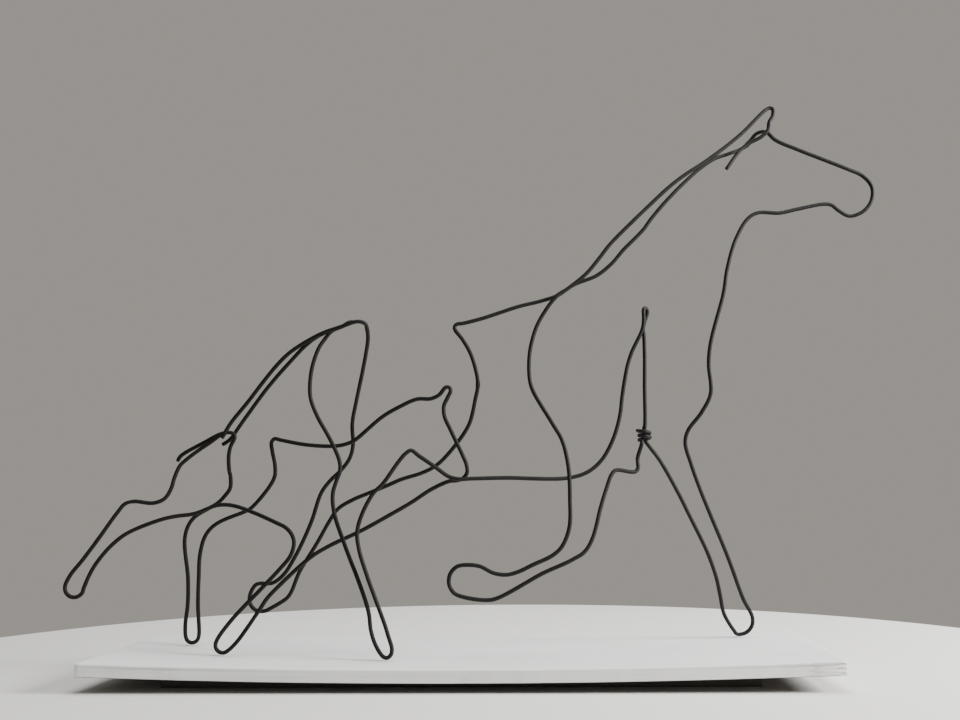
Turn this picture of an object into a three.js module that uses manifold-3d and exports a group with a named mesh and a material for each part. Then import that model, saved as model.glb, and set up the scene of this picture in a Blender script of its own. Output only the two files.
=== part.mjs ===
// A trotting mare and her foal, drawn in bent iron wire, on a thin painted board.
// Units are millimetres. +X is the way the animals run, -Y is their near side, +Z is up.
// The origin is the middle of the plinth's flat underside.

import * as THREE from 'three';
import { mergeVertices } from 'three/addons/utils/BufferGeometryUtils.js';
import Module from 'manifold-3d';

// Wire
const WIRE_DIAMETER = 2.5;
const WIRE_SIDES = 8;
const STEP_LENGTH = 16; // one step of a tube covers this much straight wire,
const STEP_TURN = THREE.MathUtils.degToRad(25); // or this much of a bend
const SAMPLES_PER_BEND = 12; // places between two bends where the wire's course is measured
const TURN_SPACING = 45; // degrees between the bends that a round turn is given

// Elbow knot: the end of one wire coiled round two others
const KNOT_CENTRE = [109, 12.6];
const KNOT_RADII = [3.05, 4.5];
const KNOT_BOTTOM = 132.2;
const KNOT_START = THREE.MathUtils.degToRad(225); // round from +X towards +Y
const KNOT_TURNS = 2.125;
const KNOT_PITCH = 2.7;
const KNOT_BENDS_PER_TURN = 8;

// Plinth
const BOARD_LENGTH = 400;
const BOARD_DEPTH = 125;
const BOARD_THICKNESS = 7;
const BOARD_WARP = 3.7; // how far the board's ends lift above its middle
const BOARD_SEGMENTS = 10;
const FOOT_LENGTH = 320;
const FOOT_DEPTH = 85;
const FOOT_HEIGHT = 5;
const FOOT_OVERLAP = 3; // how far the foot is let into the board

// Bends along a round turn in an upright plane: its centre, its radius, and the directions from the
// centre that it runs between, in degrees from level towards +Z. The plane's level direction is +X,
// or facing degrees from there towards +Y.
function turn([x, y, z], radius, from, to, facing = 0) {
  const count = Math.ceil(Math.abs(to - from) / TURN_SPACING);
  const level = THREE.MathUtils.degToRad(facing);
  return Array.from({ length: count + 1 }, (_, i) => {
    const angle = THREE.MathUtils.degToRad(from + ((to - from) * i) / count);
    const out = radius * Math.cos(angle);
    return [x + out * Math.cos(level), y + out * Math.sin(level), z + radius * Math.sin(angle)];
  });
}

// Bends of the elbow knot, a close upright coil that starts on its near side and ends on its -X side.
function knot() {
  const count = Math.round(KNOT_TURNS * KNOT_BENDS_PER_TURN);
  return Array.from({ length: count + 1 }, (_, i) => {
    const turned = i / KNOT_BENDS_PER_TURN;
    const angle = KNOT_START - 2 * Math.PI * turned;
    return [
      KNOT_CENTRE[0] + KNOT_RADII[0] * Math.cos(angle),
      KNOT_CENTRE[1] + KNOT_RADII[1] * Math.sin(angle),
      KNOT_BOTTOM + KNOT_PITCH * turned,
    ];
  });
}

// Each wire is the list of its bends, [x, y, z], in the order that the hand made them.

const mareHeadAndFarForeleg = [
  // end tucked in behind the poll, and over the forelock
  [178.3, 20.3, 315.2], [181.5, 20.6, 318], [186, 20.8, 322.8], [191.5, 21.2, 323.8], [197.5, 22, 318.5],
  // straight face
  [212.6, 24, 311.9], [242, 28, 300.2],
  // nose
  [251.4, 30, 296.2], [256.7, 30, 288.8], [256, 30, 280.2], [250.6, 30, 273.4], [242, 30, 270.5],
  // chin, lip and jaw
  [235.5, 29, 273.8], [230.9, 28.2, 277.4], [226, 27.4, 278], [209, 25, 274.5], [198, 23.3, 272],
  [184, 21.5, 272],
  // throat and underside of the neck
  [177.5, 20.6, 268], [169.4, 19, 254.8], [163, 17, 235.6], [160, 16.4, 220.6], [150.7, 15, 190.3],
  // breast
  [149.1, 15.4, 178], [149.6, 16, 160], [144, 16.5, 149],
  // front of the foreleg
  [135.4, 17.2, 138], [133.5, 18, 131], [136.8, 20.2, 118], [143, 24, 100.3], [158.7, 34, 61.2],
  [166.8, 39, 38],
  // hoof
  ...turn([164.6, 43, 24.4], 8.2, 10, -100), [161, 42.2, 18.8], [155.4, 40.1, 28.6],
  // back of the foreleg, up to the elbow
  [153.3, 38.3, 39.5], [150.8, 35.2, 51], [145.5, 31, 66], [135.9, 26.4, 86.5], [128.5, 22.5, 101.8],
  [118.4, 17, 119.8],
  // end held in the knot
  [111.9, 14.4, 128.6], [110, 13.95, 131.2], [109.1, 13.95, 133.2], [109.1, 13.95, 141.5],
];

const mareNeckAndNearForeleg = [
  // loose end behind the poll
  [165, 14, 298.3], [175, 16.8, 311.3], [181.5, 17.6, 316], [188, 17.8, 319.4], [192.2, 17.8, 323.4],
  // ear
  [193.4, 18.2, 329], [195.7, 18.7, 333], ...turn([194.4, 18.9, 336.5], 1.9, -5, 120), [190, 18, 335.6],
  // crest of the neck
  [175.8, 15.8, 321.6], [155.4, 12.3, 305.2], [133.1, 8.5, 289.6], [109.6, 5.6, 268], [92, 3.5, 250.6],
  [85, 2.5, 241.7], [76.8, 1.3, 232], [65.7, 0, 222.9],
  // withers and shoulder
  [59, -1, 218.4], [48.5, -2, 204.2], [43, -3.5, 189], [41.5, -5, 173], [43, -6.2, 162.8],
  [53.8, -8.3, 142.7],
  // front of the foreleg
  [59.8, -9.7, 131.6], [62.8, -11.3, 117], [63.5, -13, 97], [62.4, -14.1, 81.5], [58, -15, 71.6],
  [52.7, -15.5, 66.9], [41.8, -16.3, 61.9], [33.3, -17, 58], [26.5, -17.3, 56.5], [19.5, -17.5, 57.6],
  [12, -17.8, 61.3],
  // hoof
  ...turn([3.2, -18.5, 53.6], 8.8, 80, 265),
  // back of the foreleg
  [15, -17.1, 42.8], [21, -16.8, 43.6], [47.2, -14, 56.9], [64.3, -12, 64.5], [71, -10.6, 68.6],
  [75.4, -9, 75.5], [81, -4, 93.2], [85.2, 0, 104.8], [88.2, 2.3, 112],
  // elbow: two sharp bends
  [90.8, 3.6, 114.6], [102.2, 7.6, 113.7], [104.1, 8.4, 115.8], [104.2, 9, 121.4], [105.6, 9, 126],
  [106.5, 8.3, 128.7], [107, 8.2, 130.6], ...knot(),
  // cut end, left proud
  [105.1, 15.2, 138.3],
];

const mareBackAndFarHindLeg = [
  // end tucked in behind the poll
  [182, 24, 317.3], [175.5, 23, 313.4], [167, 20, 309.8], [158.8, 17, 306.3],
  // neck
  [149, 14.8, 299.6], [132.8, 11.5, 284.3], [117.7, 9.2, 267.1], [112.4, 8.5, 260], [100.2, 7.1, 247.7],
  [91.7, 6.2, 238.2], [82.8, 5.2, 231.4], [70, 4, 226.4],
  // back
  [59, 2.7, 219.4], [48.7, 1, 215.8], [37, -0.5, 212.9], [13, -3, 205.3], [3, -4, 202.8],
  // loin corner
  ...turn([0, -4.4, 200], 2.4, 105, 215), [2.7, -3.8, 192.4],
  // flank
  [8.1, -3, 181.5], [10.9, -1.8, 167], [9.2, -1, 157.2], [5.5, 0, 143.3], [-2, 1, 131.8],
  [-13.9, 2.3, 119.4],
  // front of the thigh and leg
  [-22.8, 3, 114.9], [-34.6, 4, 111.4], [-51.8, 5, 104.6], [-65.2, 6, 99.4], [-74, 6.3, 94.2],
  [-79.3, 6.6, 86.8], [-86, 7, 75.4], [-96.9, 7.6, 57.8], [-101.7, 8, 46.5], [-104.3, 8, 42.7],
  [-108, 8, 40.1],
  // hoof
  [-114.3, 8, 36.7], ...turn([-119.7, 8, 42.3], 7.4, -70, -195), [-123.8, 8, 50.1],
  // back of the leg
  [-121.2, 8, 51.2], [-114.8, 7.9, 51.1], [-111.7, 7.8, 52], [-106.6, 7.5, 56], [-100.8, 7, 64.3],
  [-89.9, 5.6, 86.3], [-83.8, 4.5, 103.8], [-79, 4, 110.3], [-71.5, 2.9, 117.2], [-66.4, 2, 123.8],
  [-64, 0.6, 131.5],
  // point of the buttock and croup
  [-64, -1.7, 144], [-61.4, -4, 156.4], [-54.8, -9, 184], [-53.1, -11, 193.5], [-53.2, -13.4, 198.6],
  [-53.9, -15.8, 201.8], [-58, -17.1, 203], [-67.1, -17.2, 200.5], [-79.5, -16.6, 196.4],
  // tail, its end laid over the foal's croup
  [-87.5, -13.8, 193.3], [-99.4, -11.5, 186.6], [-108.5, -9.4, 178.6], [-129.6, -4, 154.6],
  [-136.3, -2.6, 147.3], [-140, -1.3, 142.3], [-143, -0.8, 137.1],
];

const mareBellyAndNearHindLeg = [
  // end hooked behind the foal's croup
  [-145.4, 7.4, 133.7], [-141.7, 7.8, 136.1], [-139.5, 8, 138.4], [-136.2, 7.6, 143.2],
  // tail
  [-122.8, 2, 158.9], [-111, -3, 171.5], [-98.4, -8, 183.4], [-90.5, -9.8, 190.9], [-81.1, -10.1, 197],
  // croup, where the wire is folded back along itself
  [-68.5, -10.1, 201.6], [-64.7, -10, 203.3], [-63.1, -10.6, 203.7], [-62.5, -12.1, 203.8],
  [-63.1, -13.6, 203.5], [-64.7, -14.2, 202.7], [-67.7, -14.2, 200.9], [-73.1, -14, 198.9],
  // buttock
  [-75.2, -13.9, 197.4], [-78.3, -14.4, 193.2], [-81.6, -15.6, 187.7], [-85, -16.1, 177.4],
  [-86.6, -15.6, 167], [-86, -15.3, 158], [-81.8, -15, 147.5], [-73, -15, 131.7], [-68.6, -15.7, 121.5],
  // back of the leg
  [-68.3, -16, 116], [-70.3, -17, 109.7], [-71.8, -18, 103], [-71, -19.4, 93.2], [-65.1, -22, 77],
  [-49.7, -28, 39.4], [-47.7, -29.4, 28], [-44.9, -30.8, 20.2],
  // hoof
  [-40.7, -31.9, 14.4], [-38.4, -32, 13.7], [-36.3, -31.9, 15.4], [-35.8, -31.6, 18.5],
  // front of the leg
  [-37.9, -30.5, 25.2], [-42.5, -29, 37.3], [-49.8, -27.4, 55.6], [-55.4, -26, 72.8], [-56.3, -25.6, 81.4],
  [-53.4, -25, 92.2], [-47.5, -23.7, 103],
  // flank
  [-42.4, -23, 108], [-34.2, -21.1, 119.6], [-29.5, -20, 125.3], [-26.5, -19.5, 127], [-22, -18.7, 123.8],
  [-12.5, -17, 117], [-5.5, -15.5, 111.8],
  // belly
  [0, -15.3, 110.3], [8, -13.9, 110.5], [26, -9, 110.7], [62, 1, 110.4], [74.5, 3.2, 113.8],
  // girth
  [83.2, 5, 121], [90.7, 6.5, 134.4], [94.8, 8, 148], [96.4, 9, 158.8], [99.3, 10, 173.2],
  [102.9, 10.9, 184.6], [110, 11.7, 199],
  // fold behind the shoulder
  [111, 11.7, 204], ...turn([112.4, 13.4, 210.4], 2.1, 180, 0, 50),
  // straight down, its end held in the knot
  [111.7, 15, 204.2], [110.6, 14.8, 199.9], [111, 14.4, 196], [109.5, 11.3, 143], [109, 11.25, 138],
  [109, 11.25, 132.6],
];

const foal = [
  // tail
  [-172, 5, 124], [-170.4, 5, 126.8], [-166.9, 5, 129.4], [-155.9, 5, 135.1],
  // croup
  [-146.8, 5, 139.8], [-143.1, 5, 140.8], [-140.3, 5, 140.9], [-137.6, 5, 139.9], [-137, 5, 137.8],
  // buttock
  [-139.6, 5.5, 132.4], [-140.7, 5.8, 126.8], [-140.5, 6.5, 118], [-139.7, 6.7, 114.5], [-140, 7.4, 107.5],
  [-143.3, 8, 103], [-147.5, 8.4, 98.9], [-162, 9.3, 90.4],
  // far hind leg, back
  [-166, 9.8, 85.3], [-168.2, 10.6, 77], [-166.4, 13, 54], [-166.7, 14.4, 38.3], [-168.2, 15.5, 26.5],
  // far hind hoof
  ...turn([-163.9, 16, 20.1], 4, 190, 355),
  // far hind leg, front
  [-160.2, 14.2, 38.3], [-159.8, 13, 53.7], [-159.2, 12.1, 67.3], [-156.6, 11.4, 77.8], [-153, 11, 83.2],
  [-147, 10, 87.5], [-131.3, 7.8, 93.2], [-127, 7.2, 95.3], [-115.2, 4.9, 108], [-111.8, 4, 114.3],
  [-111.7, 3.7, 120.3],
  // loin corner
  [-113.3, 3.2, 129], [-113.8, 3, 134.4], [-111.8, 2.5, 136.4], [-108.1, 1.5, 135.6],
  // back and crest of the neck
  [-92, -1.5, 132.4], [-75, -3.5, 131.2], [-67, -4.5, 132.2], [-61.8, -5.1, 134.3], [-45.5, -7.5, 147.1],
  [-34.8, -9, 153], [-24.2, -10.1, 157.2], [-16, -11, 157.2],
  // ear
  [-11, -11.5, 159.4], ...turn([-6.3, -12, 161.8], 2, 145, -15), [-6.2, -12, 157.4], [-8.3, -12, 152.8],
  // face
  [-8, -12.1, 146.9], [-4.7, -12.3, 139.3], [2.3, -12.5, 124.4], [4.6, -12.5, 118.4],
  // muzzle
  [4.8, -11.9, 114], [2.8, -11.5, 111.2], [-0.5, -11.6, 109.7], [-5.5, -12, 109.2],
  // breast
  [-15.5, -12, 105], [-27.5, -12.5, 97.4], [-42, -13, 89.4], [-57.5, -14, 81.1], [-74.6, -15, 73.4],
  // near foreleg, front
  [-84.7, -16, 67.4], [-102.5, -18, 51.5], [-109, -18.5, 44.7], [-113.6, -19, 37.8], [-124.7, -20.5, 22],
  // near foreleg, hoof
  ...turn([-133.1, -21.3, 19.6], 4.3, -40, -210),
  // near foreleg, back
  [-130.3, -20, 31.4], [-111.4, -17, 51.5], [-103.3, -15.4, 60.3],
  // belly
  [-97, -14, 68.3], [-95.4, -12.8, 75.5], [-96.9, -12, 80], [-100.8, -10.5, 84], [-107.2, -9, 87],
  [-125.3, -4.2, 94.2], [-132.2, -3.1, 96.5], [-139, -3, 97.7], [-145, -3.1, 97.3],
  // near hind leg, front
  [-157.5, -4.6, 92.6], [-168.4, -6, 91.2], [-177, -7.1, 89.2], [-195.8, -8.7, 81.8], [-205, -9.3, 74.6],
  [-212.6, -10, 65.6], [-216.4, -10.3, 59.2],
  // near hind hoof
  ...turn([-225.2, -11, 51.2], 5.7, 0, -185),
  // near hind leg, back
  [-228.2, -11, 57.9], [-221.5, -10.2, 66.7], [-211.1, -9, 81.3], [-203, -7, 93.8], [-198.8, -6, 98.9],
  [-193.9, -5.4, 100.2], [-182.5, -3.9, 99.2], [-176.2, -3, 101.7], [-172.8, -2, 107.4],
  // end laid along the tail, under the croup
  [-171.2, -1, 114.2], [-168.5, 0, 121.1], [-165.1, 0.6, 124.6], [-158.2, 1.3, 130], [-151.1, 1.8, 134.8],
  [-144.5, 2, 139.4], [-141.6, 2, 140.3],
];

// A wire's centre line: a smooth curve through its bends. Steps along it are short where it turns
// tightly and long where it runs straight.
class WirePath extends THREE.CatmullRomCurve3 {
  constructor(bends) {
    super(bends.map((bend) => new THREE.Vector3(...bend)), false, 'centripetal');
    const last = (bends.length - 1) * SAMPLES_PER_BEND;
    const samples = Array.from({ length: last + 1 }, (_, i) => ({
      point: this.getPoint(i / last),
      heading: this.getTangent(i / last),
    }));
    this.stepsBefore = [0]; // tube steps used up to each sample
    for (let i = 1; i <= last; i += 1) {
      const run = samples[i].point.distanceTo(samples[i - 1].point) / STEP_LENGTH;
      const bend = samples[i].heading.angleTo(samples[i - 1].heading) / STEP_TURN;
      this.stepsBefore.push(this.stepsBefore[i - 1] + run + bend);
    }
  }

  get steps() {
    return Math.ceil(this.stepsBefore.at(-1));
  }

  getUtoTmapping(u) {
    const wanted = u * this.stepsBefore.at(-1);
    const next = Math.max(1, this.stepsBefore.findIndex((steps) => steps >= wanted));
    const [low, high] = [this.stepsBefore[next - 1], this.stepsBefore[next]];
    const share = (wanted - low) / (high - low);
    return Math.min(1, Math.max(0, (next - 1 + share) / (this.stepsBefore.length - 1)));
  }
}

// The wire's round section.
function wireSection() {
  const corners = Array.from({ length: WIRE_SIDES }, (_, i) => {
    const angle = (2 * Math.PI * i) / WIRE_SIDES;
    return new THREE.Vector2(Math.cos(angle), Math.sin(angle)).multiplyScalar(WIRE_DIAMETER / 2);
  });
  return new THREE.Shape(corners);
}

function wireGeometry(bends) {
  const path = new WirePath(bends);
  return new THREE.ExtrudeGeometry(wireSection(), { extrudePath: path, steps: path.steps });
}

// The warped board: a strip between two arcs of one centre, extruded across its depth.
function boardGeometry() {
  const half = BOARD_LENGTH / 2;
  const radius = (half ** 2 + BOARD_WARP ** 2) / (2 * BOARD_WARP);
  const spread = Math.asin(half / radius);
  const low = -Math.PI / 2;
  const profile = new THREE.Shape();
  profile.absarc(0, FOOT_HEIGHT + radius, radius, low - spread, low + spread, false);
  profile.absarc(0, FOOT_HEIGHT + radius, radius - BOARD_THICKNESS, low + spread, low - spread, true);
  const settings = { depth: BOARD_DEPTH, bevelEnabled: false, curveSegments: BOARD_SEGMENTS };
  return new THREE.ExtrudeGeometry(profile, settings).rotateX(Math.PI / 2).translate(0, BOARD_DEPTH / 2, 0);
}

// The recessed foot that lifts the board and makes the dark gap under its edge.
function footGeometry() {
  const height = FOOT_HEIGHT + FOOT_OVERLAP;
  return new THREE.BoxGeometry(FOOT_LENGTH, FOOT_DEPTH, height).translate(0, 0, height / 2);
}

const wasm = await Module();
wasm.setup();

function toSolid(geometry) {
  const plain = geometry.clone();
  plain.deleteAttribute('normal');
  plain.deleteAttribute('uv');
  const merged = mergeVertices(plain);
  return new wasm.Manifold(new wasm.Mesh({
    numProp: 3,
    vertProperties: new Float32Array(merged.attributes.position.array),
    triVerts: new Uint32Array(merged.index.array),
  }));
}

function toGeometry(solid) {
  const mesh = solid.getMesh();
  const geometry = new THREE.BufferGeometry();
  geometry.setAttribute('position', new THREE.BufferAttribute(mesh.vertProperties, 3));
  geometry.setIndex(new THREE.BufferAttribute(mesh.triVerts, 1));
  geometry.computeVertexNormals();
  return geometry;
}

function plinthGeometry() {
  return toGeometry(toSolid(boardGeometry()).add(toSolid(footGeometry())));
}

const wireFinish = { color: 0x1d1b1a, roughness: 0.5, metalness: 0.8 };
const paintFinish = { color: 0xe4e4e2, roughness: 0.6, metalness: 0 };

function piece(name, geometry, finish) {
  const mesh = new THREE.Mesh(geometry, new THREE.MeshStandardMaterial(finish));
  mesh.name = name;
  return mesh;
}

const group = new THREE.Group();
group.add(
  piece('mare_head_and_far_foreleg_wire', wireGeometry(mareHeadAndFarForeleg), wireFinish),
  piece('mare_neck_and_near_foreleg_wire', wireGeometry(mareNeckAndNearForeleg), wireFinish),
  piece('mare_back_and_far_hind_leg_wire', wireGeometry(mareBackAndFarHindLeg), wireFinish),
  piece('mare_belly_and_near_hind_leg_wire', wireGeometry(mareBellyAndNearHindLeg), wireFinish),
  piece('foal_wire', wireGeometry(foal), wireFinish),
  piece('plinth', plinthGeometry(), paintFinish),
);

export default group;
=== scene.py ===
"""A trotting mare with her foal at her flank, bent from black iron wire, on a thin white painted board.

The wires are tubes swept along the smooth curves through their bends, with the marks that pliers and
cutters leave. The board is a rounded box, warped, brush-painted, frayed at one end, on a recessed foot.
Bends and sizes are in millimetres, and a mesh is in metres. +X is the way the animals run, -Y is their
near side and +Z is up.
"""

import logging
import math
from collections.abc import Mapping, Sequence
from dataclasses import dataclass
from enum import Enum

import bpy
import numpy as np
import numpy.typing as npt
from mathutils import Matrix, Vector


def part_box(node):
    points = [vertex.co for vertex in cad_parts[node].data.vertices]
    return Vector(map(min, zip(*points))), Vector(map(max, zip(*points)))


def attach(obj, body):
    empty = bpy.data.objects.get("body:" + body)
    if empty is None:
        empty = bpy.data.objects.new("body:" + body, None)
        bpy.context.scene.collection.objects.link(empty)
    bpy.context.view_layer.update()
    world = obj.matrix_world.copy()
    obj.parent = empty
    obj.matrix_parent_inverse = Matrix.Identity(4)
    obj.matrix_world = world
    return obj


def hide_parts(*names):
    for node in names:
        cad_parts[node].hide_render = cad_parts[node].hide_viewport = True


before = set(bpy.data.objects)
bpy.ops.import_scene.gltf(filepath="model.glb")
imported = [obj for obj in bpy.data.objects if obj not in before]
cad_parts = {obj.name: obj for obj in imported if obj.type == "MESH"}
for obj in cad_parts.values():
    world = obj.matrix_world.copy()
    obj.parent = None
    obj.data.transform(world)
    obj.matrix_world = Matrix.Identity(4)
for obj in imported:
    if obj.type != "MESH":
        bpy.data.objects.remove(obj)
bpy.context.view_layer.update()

log = logging.getLogger("wire_mare_and_foal")

FloatArray = npt.NDArray[np.float64]
IntArray = npt.NDArray[np.int64]
Point = tuple[float, float, float]
Colour = tuple[float, float, float, float]

MM = 0.001
BODY = "root"
TURN_SPACING = 45.0  # degrees between the bends that a round turn is given
SAMPLES_PER_BEND = 40  # places between two bends where a wire's course is measured
SHARP_ANGLE = math.radians(50)  # faces that meet more sharply than this are shaded apart


class Slot(Enum):
    """The record's material slots."""

    WIRE = "iron_wire"
    PAINT = "white_paint"


def turn(centre: Point, radius: float, start: float, stop: float, facing: float = 0.0) -> list[Point]:
    """Bends along a round turn in an upright plane.

    A bend stands at the centre, plus radius times the cosine of its angle along the plane's level
    direction, plus radius times the sine upwards.

    Args:
        centre: Middle of the turn.
        radius: Radius of the turn.
        start: First direction from the centre, in degrees from level towards +Z.
        stop: Last direction from the centre.
        facing: The plane's level direction, in degrees from +X towards +Y.

    Returns:
        The bends from the first direction to the last, both included.
    """
    count = math.ceil(abs(stop - start) / TURN_SPACING)
    angle = np.radians(np.linspace(start, stop, count + 1))
    level = math.radians(facing)
    out = radius * np.cos(angle)
    x = centre[0] + out * math.cos(level)
    y = centre[1] + out * math.sin(level)
    z = centre[2] + radius * np.sin(angle)
    return [tuple(bend) for bend in np.column_stack((x, y, z)).tolist()]


@dataclass(frozen=True)
class Knot:
    """A close upright coil, started at its near left, that passes the far side first."""

    centre: tuple[float, float] = (109.0, 12.6)
    radii: tuple[float, float] = (3.05, 4.5)
    bottom: float = 132.2
    start: float = 225.0  # degrees round from +X towards +Y
    turns: float = 2.125
    pitch: float = 2.7
    bends_per_turn: int = 8

    def bends(self) -> list[Point]:
        """The coil's bends: an ellipse in plan that climbs one pitch a turn."""
        turned = np.arange(round(self.turns * self.bends_per_turn) + 1) / self.bends_per_turn
        angle = math.radians(self.start) - 2 * math.pi * turned
        x = self.centre[0] + self.radii[0] * np.cos(angle)
        y = self.centre[1] + self.radii[1] * np.sin(angle)
        z = self.bottom + self.pitch * turned
        return [tuple(bend) for bend in np.column_stack((x, y, z)).tolist()]


# Each wire is the list of its bends, (x, y, z), in the order that the hand made them.

MARE_HEAD_AND_FAR_FORELEG: tuple[Point, ...] = (
    # end tucked in behind the poll, and over the forelock
    (178.3, 20.3, 315.2), (181.5, 20.6, 318), (186, 20.8, 322.8), (191.5, 21.2, 323.8), (197.5, 22, 318.5),
    # straight face
    (212.6, 24, 311.9), (242, 28, 300.2),
    # nose
    (251.4, 30, 296.2), (256.7, 30, 288.8), (256, 30, 280.2), (250.6, 30, 273.4), (242, 30, 270.5),
    # chin, lip and jaw
    (235.5, 29, 273.8), (230.9, 28.2, 277.4), (226, 27.4, 278), (209, 25, 274.5), (198, 23.3, 272),
    (184, 21.5, 272),
    # throat and underside of the neck
    (177.5, 20.6, 268), (169.4, 19, 254.8), (163, 17, 235.6), (160, 16.4, 220.6), (150.7, 15, 190.3),
    # breast
    (149.1, 15.4, 178), (149.6, 16, 160), (144, 16.5, 149),
    # front of the foreleg
    (135.4, 17.2, 138), (133.5, 18, 131), (136.8, 20.2, 118), (143, 24, 100.3), (158.7, 34, 61.2),
    (166.8, 39, 38),
    # hoof
    *turn((164.6, 43, 24.4), 8.2, 10, -100), (161, 42.2, 18.8), (155.4, 40.1, 28.6),
    # back of the foreleg, up to the elbow
    (153.3, 38.3, 39.5), (150.8, 35.2, 51), (145.5, 31, 66), (135.9, 26.4, 86.5), (128.5, 22.5, 101.8),
    (118.4, 17, 119.8),
    # end held in the knot
    (111.9, 14.4, 128.6), (110, 13.95, 131.2), (109.1, 13.95, 133.2), (109.1, 13.95, 141.5),
)

MARE_NECK_AND_NEAR_FORELEG: tuple[Point, ...] = (
    # loose end behind the poll
    (165, 14, 298.3), (175, 16.8, 311.3), (181.5, 17.6, 316), (188, 17.8, 319.4), (192.2, 17.8, 323.4),
    # ear
    (193.4, 18.2, 329), (195.7, 18.7, 333), *turn((194.4, 18.9, 336.5), 1.9, -5, 120), (190, 18, 335.6),
    # crest of the neck
    (175.8, 15.8, 321.6), (155.4, 12.3, 305.2), (133.1, 8.5, 289.6), (109.6, 5.6, 268), (92, 3.5, 250.6),
    (85, 2.5, 241.7), (76.8, 1.3, 232), (65.7, 0, 222.9),
    # withers and shoulder
    (59, -1, 218.4), (48.5, -2, 204.2), (43, -3.5, 189), (41.5, -5, 173), (43, -6.2, 162.8),
    (53.8, -8.3, 142.7),
    # front of the foreleg
    (59.8, -9.7, 131.6), (62.8, -11.3, 117), (63.5, -13, 97), (62.4, -14.1, 81.5), (58, -15, 71.6),
    (52.7, -15.5, 66.9), (41.8, -16.3, 61.9), (33.3, -17, 58), (26.5, -17.3, 56.5), (19.5, -17.5, 57.6),
    (12, -17.8, 61.3),
    # hoof
    *turn((3.2, -18.5, 53.6), 8.8, 80, 265),
    # back of the foreleg
    (15, -17.1, 42.8), (21, -16.8, 43.6), (47.2, -14, 56.9), (64.3, -12, 64.5), (71, -10.6, 68.6),
    (75.4, -9, 75.5), (81, -4, 93.2), (85.2, 0, 104.8), (88.2, 2.3, 112),
    # elbow: two sharp bends
    (90.8, 3.6, 114.6), (102.2, 7.6, 113.7), (104.1, 8.4, 115.8), (104.2, 9, 121.4), (105.6, 9, 126),
    (106.5, 8.3, 128.7), (107, 8.2, 130.6), *Knot().bends(),
    # cut end, left proud
    (105.1, 15.2, 138.3),
)

MARE_BACK_AND_FAR_HIND_LEG: tuple[Point, ...] = (
    # end tucked in behind the poll
    (182, 24, 317.3), (175.5, 23, 313.4), (167, 20, 309.8), (158.8, 17, 306.3),
    # neck
    (149, 14.8, 299.6), (132.8, 11.5, 284.3), (117.7, 9.2, 267.1), (112.4, 8.5, 260), (100.2, 7.1, 247.7),
    (91.7, 6.2, 238.2), (82.8, 5.2, 231.4), (70, 4, 226.4),
    # back
    (59, 2.7, 219.4), (48.7, 1, 215.8), (37, -0.5, 212.9), (13, -3, 205.3), (3, -4, 202.8),
    # loin corner
    *turn((0, -4.4, 200), 2.4, 105, 215), (2.7, -3.8, 192.4),
    # flank
    (8.1, -3, 181.5), (10.9, -1.8, 167), (9.2, -1, 157.2), (5.5, 0, 143.3), (-2, 1, 131.8),
    (-13.9, 2.3, 119.4),
    # front of the thigh and leg
    (-22.8, 3, 114.9), (-34.6, 4, 111.4), (-51.8, 5, 104.6), (-65.2, 6, 99.4), (-74, 6.3, 94.2),
    (-79.3, 6.6, 86.8), (-86, 7, 75.4), (-96.9, 7.6, 57.8), (-101.7, 8, 46.5), (-104.3, 8, 42.7),
    (-108, 8, 40.1),
    # hoof
    (-114.3, 8, 36.7), *turn((-119.7, 8, 42.3), 7.4, -70, -195), (-123.8, 8, 50.1),
    # back of the leg
    (-121.2, 8, 51.2), (-114.8, 7.9, 51.1), (-111.7, 7.8, 52), (-106.6, 7.5, 56), (-100.8, 7, 64.3),
    (-89.9, 5.6, 86.3), (-83.8, 4.5, 103.8), (-79, 4, 110.3), (-71.5, 2.9, 117.2), (-66.4, 2, 123.8),
    (-64, 0.6, 131.5),
    # point of the buttock and croup
    (-64, -1.7, 144), (-61.4, -4, 156.4), (-54.8, -9, 184), (-53.1, -11, 193.5), (-53.2, -13.4, 198.6),
    (-53.9, -15.8, 201.8), (-58, -17.1, 203), (-67.1, -17.2, 200.5), (-79.5, -16.6, 196.4),
    # tail, its end laid over the foal's croup
    (-87.5, -13.8, 193.3), (-99.4, -11.5, 186.6), (-108.5, -9.4, 178.6), (-129.6, -4, 154.6),
    (-136.3, -2.6, 147.3), (-140, -1.3, 142.3), (-143, -0.8, 137.1),
)

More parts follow.
